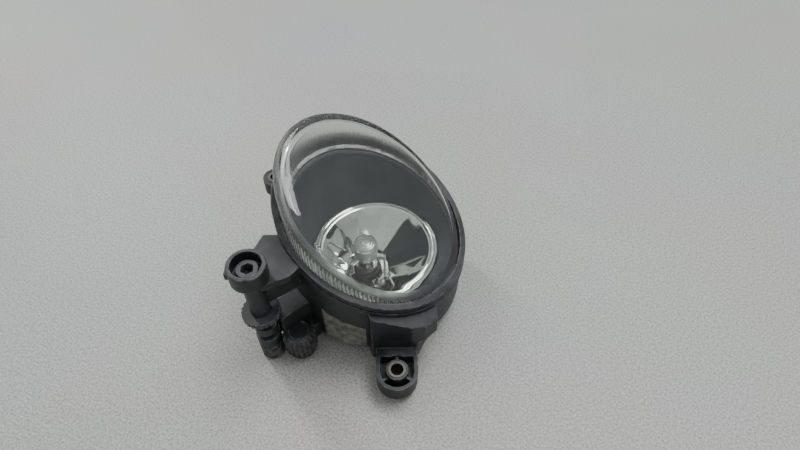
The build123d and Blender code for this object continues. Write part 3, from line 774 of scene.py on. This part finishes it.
# %% Bulb cap
cap_sides = 64
cap_r = 6.6
cap_low = 28.0
cap_t = 0.7
cap_groove = 0.75            # the top's inner side, below its outer one
cap_profile = [
    (cap_r - cap_t, cap_low),
    (cap_r, cap_low),
    (cap_r, cap_top - 2.4),
    (cap_r - 0.25, cap_top - 1.2),
    (cap_r - 0.9, cap_top - 0.5),
    (4.9, cap_top - 0.25),
    (4.5, cap_top - 0.55),
    (4.1, cap_top - 0.2),
    (3.3, cap_top - 0.1),
    (2.9, cap_top - 0.45),
    (2.5, cap_top - 0.1),
    (1.7, cap_top),
    (1.4, cap_top - 0.35),
    (0.2, cap_top - 0.35),
    (0.2, cap_top - cap_groove),
    (cap_r - cap_t, cap_top - 1.6),
]
leg_r = cap_r + 4.0
leg_top = cap_low + 1.1
leg_blocks = [
    ("arm", cap_r + 1.9, cap_low + 0.6, (4.6, 1.8, 1.0)),
    ("leg", leg_r, (leg_top + floor_z) / 2, (1.0, 1.8, leg_top - floor_z)),
    ("foot", leg_r, floor_z + 0.4, (1.8, 3.0, 0.8)),
]
legs = 3
first_leg = 15               # degrees
cap = rings(
    "bulb_cap",
    cap_sides,
    [turned(bulb.x, bulb.y, radius, height) for radius, height in cap_profile],
    loop=True,
)
smooth(cap, degrees=40)
for index in range(legs):
    angle = math.radians(first_leg + 360 / legs * index)
    spoke = Vector((math.cos(angle), math.sin(angle), 0))
    for name, reach, height, sides in leg_blocks:
        spot = bulb + spoke * reach
        centre = (spot.x, spot.y, height)
        bar = bevelled_block(f"cap_{name}_{index}", centre, angle, sides, edge=0.2, segments=2)
        join_to(cap, bar)
finish_piece(cap, "reflector_unit", cap_metal, "shield_metal", "bulb_shield")

# %% [markdown]
# The electrical socket is a short barrel that opens downwards. Ribs run down its
# outside for the fingers, and a bevelled block joins it to the housing. An array of
# rib boxes would leave sharp seams, so the ribs swell out of the barrel's own rings,
# and the rings also shape the collar, the round top and the pocket for the plug.

# %% Socket
terminal_low, terminal_high = (Vector(corner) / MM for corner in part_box("connector_terminals"))
terminals_off = 3.0          # the blades stand off the socket's middle
socket = Vector((
    (terminal_low.x + terminal_high.x) / 2,
    (terminal_low.y + terminal_high.y) / 2 + terminals_off,
    0,
))
barrel_low, barrel_high = (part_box("connector_shell")[side][2] / MM for side in (0, 1))
barrel_ribs = 20
rib_points = 8
rib_roundness = 0.6          # under 1, the ribs get broad tops and narrow grooves
pocket_r = 6.5
pocket_top = barrel_low + 12.0


def barrel(radius, height, rib=0.0):
    """A ring of the barrel; rib is how far its round ribs stand out."""
    def station(turn):
        swell = rib * max(0.0, math.cos(barrel_ribs * turn)) ** rib_roundness
        reach = radius + swell
        return socket.x + reach * math.cos(turn), socket.y + reach * math.sin(turn), height
    return station


barrel_profile = [
    (0.3, pocket_top, 0.0),
    (pocket_r, pocket_top, 0.0),
    (pocket_r, barrel_low + 0.4, 0.0),
    (6.9, barrel_low, 0.0),
    (7.5, barrel_low, 0.0),
    (7.8, barrel_low + 0.3, 0.0),
    (7.8, barrel_low + 1.6, 0.0),
    (7.7, barrel_low + 2.0, 1.0),
    (7.7, barrel_high - 2.6, 1.0),
    (7.6, barrel_high - 1.6, 0.6),
    (7.2, barrel_high - 0.7, 0.0),
    (6.2, barrel_high - 0.1, 0.0),
    (5.2, barrel_high, 0.0),
    (4.9, barrel_high - 0.5, 0.0),
    (0.3, barrel_high - 0.5, 0.0),
]
barrel_rings = [barrel(radius, height, rib) for radius, height, rib in barrel_profile]
socket_shell = rings("socket_barrel", barrel_ribs * rib_points, barrel_rings, caps=True)
smooth(socket_shell, degrees=35)
socket_turn = math.atan2(socket.y, socket.x)
block_out = socket.length - 5.4
block_in = 47.6
block_width = 8.8
block_height = 11.4
block_r = (block_in + block_out) / 2
block = bevelled_block(
    "socket_block",
    (block_r * math.cos(socket_turn), block_r * math.sin(socket_turn), barrel_low + 10.0),
    socket_turn,
    (block_out - block_in, block_width, block_height),
    edge=0.6,
    segments=3,
)
join_to(socket_shell, block)
finish_piece(socket_shell, "lamp", charcoal, "black_plastic", "connector_shell")

# %% [markdown]
# The pieces that keep their CAD shape get their finish by name. Their slots could be
# filled one by one, but one table shows at a glance which finish each piece has, and
# nothing is left in plain colour.

# %% Finishes of the CAD pieces
finishes = {
    charcoal: (
        "housing",
        "lug_bracket",
        "adjuster_carrier",
        "adjuster_cover",
        "adjuster_nut",
        "adjuster_wheel",
        "rear_cover",
    ),
    rubber_finish: ("lens_seal", "bulb_oring", "cover_seal", "vent_cap"),
    base_finish: ("bulb_base",),
    worn_plastic: ("adjuster_screw",),
    steel: ("pivot_pins", "ball_stud", "bulb_collar", "filament", "filament_posts"),
    tarnished: ("lug_bush", "ear_bush"),
    brass: ("bulb_terminals", "connector_terminals"),
    capsule_glass: ("bulb_glass",),
    label_finish: ("label",),
}
for material, names in finishes.items():
    for name in names:
        for filled in nodes[name].material_slots:
            filled.material = material
print("finished", sum(len(names) for names in finishes.values()), "CAD pieces")

# %% [markdown]
# The lamp lies on a pale, finely speckled bench top. A plain grey plane would give the
# glass nothing to show, so fine noise makes the flecks and a broad one a few cloudy
# patches. The bench isn't part of the lamp, so it is staged.

# %% Bench top
bench, bench_tree, bench_shader = new_material("speckled bench")
where = place(bench_tree, "ShaderNodeTexCoord")
speckle = place(bench_tree, "ShaderNodeTexNoise", Scale=900.0, Detail=3.0, Roughness=0.75)
cloud = place(bench_tree, "ShaderNodeTexNoise", Scale=6.0, Detail=3.0)
fleck = place(bench_tree, "ShaderNodeValToRGB")
fleck.color_ramp.elements[0].position = 0.36
fleck.color_ramp.elements[0].color = (0.27, 0.28, 0.27, 1)
fleck.color_ramp.elements[1].position = 0.62
fleck.color_ramp.elements[1].color = (0.56, 0.57, 0.55, 1)
shade = place(bench_tree, "ShaderNodeMix", data_type="RGBA", blend_type="MULTIPLY")
shade.inputs[0].default_value = 0.25
wire(
    bench_tree,
    (where.outputs["Object"], speckle.inputs["Vector"]),
    (where.outputs["Object"], cloud.inputs["Vector"]),
    (speckle.outputs["Fac"], fleck.inputs["Fac"]),
    (fleck.outputs["Color"], shade.inputs["A"]),
    (cloud.outputs["Color"], shade.inputs["B"]),
    (shade.outputs[2], bench_shader.inputs["Base Color"]),
)
bench_shader.inputs["Roughness"].default_value = 0.55
deselect()
bpy.ops.mesh.primitive_plane_add(size=6)
floor = active("bench_top")
floor.data.materials.append(bench)
print("bench top staged")

# %% [markdown]
# The glass and the mirror show their surroundings, so the sky matters as much as the
# lights. A modelled room would be slow and hardly show: a grey that brightens upwards
# already gives the glass its pale face and its darker shoulder. Height alone sets it.

# %% Sky
world = bpy.data.worlds.new("studio")
bpy.context.scene.world = world
world.use_nodes = True
sky = world.node_tree
sky.nodes.clear()
ways = place(sky, "ShaderNodeTexCoord")
parts = place(sky, "ShaderNodeSeparateXYZ")
ramp = place(sky, "ShaderNodeValToRGB")
ramp.color_ramp.elements[0].position = 0.0
ramp.color_ramp.elements[0].color = (0.30, 0.31, 0.31, 1)
ramp.color_ramp.elements[1].position = 0.9
ramp.color_ramp.elements[1].color = (0.95, 0.97, 0.98, 1)
backdrop = place(sky, "ShaderNodeBackground", Strength=0.75)
sky_out = place(sky, "ShaderNodeOutputWorld")
wire(
    sky,
    (ways.outputs["Generated"], parts.inputs["Vector"]),
    (parts.outputs["Z"], ramp.inputs["Fac"]),
    (ramp.outputs["Color"], backdrop.inputs["Color"]),
    (backdrop.outputs["Background"], sky_out.inputs["Surface"]),
)
print("sky made")

# %% [markdown]
# Broad light from above keeps the shadows soft, as under a workshop's ceiling panel. A
# narrow tube on the left draws the long bright line on the glass shoulder. Both are
# area lights, since a sun lamp would give hard shadows and no such line.

# %% Lights
def soft_light(name, at, aim, size, power):
    """An area light at a place, turned towards aim; metres and watts."""
    deselect()
    bpy.ops.object.light_add(type="AREA", location=at)
    lamp = bpy.context.object
    lamp.name = name
    lamp.data.shape = "RECTANGLE"
    lamp.data.size, lamp.data.size_y = size
    lamp.data.energy = power
    lamp.rotation_euler = (Vector(aim) - Vector(at)).to_track_quat("-Z", "Y").to_euler()
    print(name, "placed")


middle = (0, 0, 0.05)
soft_light("broad top light", (0.25, 0.5, 1.3), middle, (0.9, 0.5), 14)
soft_light("tube light", (-0.75, 0.25, 0.75), middle, (0.10, 0.7), 5)

# %% [markdown]
# The camera looks down on the lamp from the adjuster's side, close and rather wide, as
# a person leaning over a bench sees a part. A longer lens from further off would
# flatten the slanted ring. It is placed from the middle of that ring.

# %% Camera
camera_off = Vector((0.1014, -0.1683, 0.2258))
camera_tip = math.radians(40)
camera_turn = math.radians(27)
deselect()
ring_centre = Vector((0, 0, ring_z * MM))
bpy.ops.object.camera_add(location=ring_centre + camera_off)
camera = bpy.context.object
camera.rotation_euler = (camera_tip, 0, camera_turn)
camera.data.lens = 26
camera.data.sensor_width = 36
camera.data.clip_start = 0.01
bpy.context.scene.camera = camera
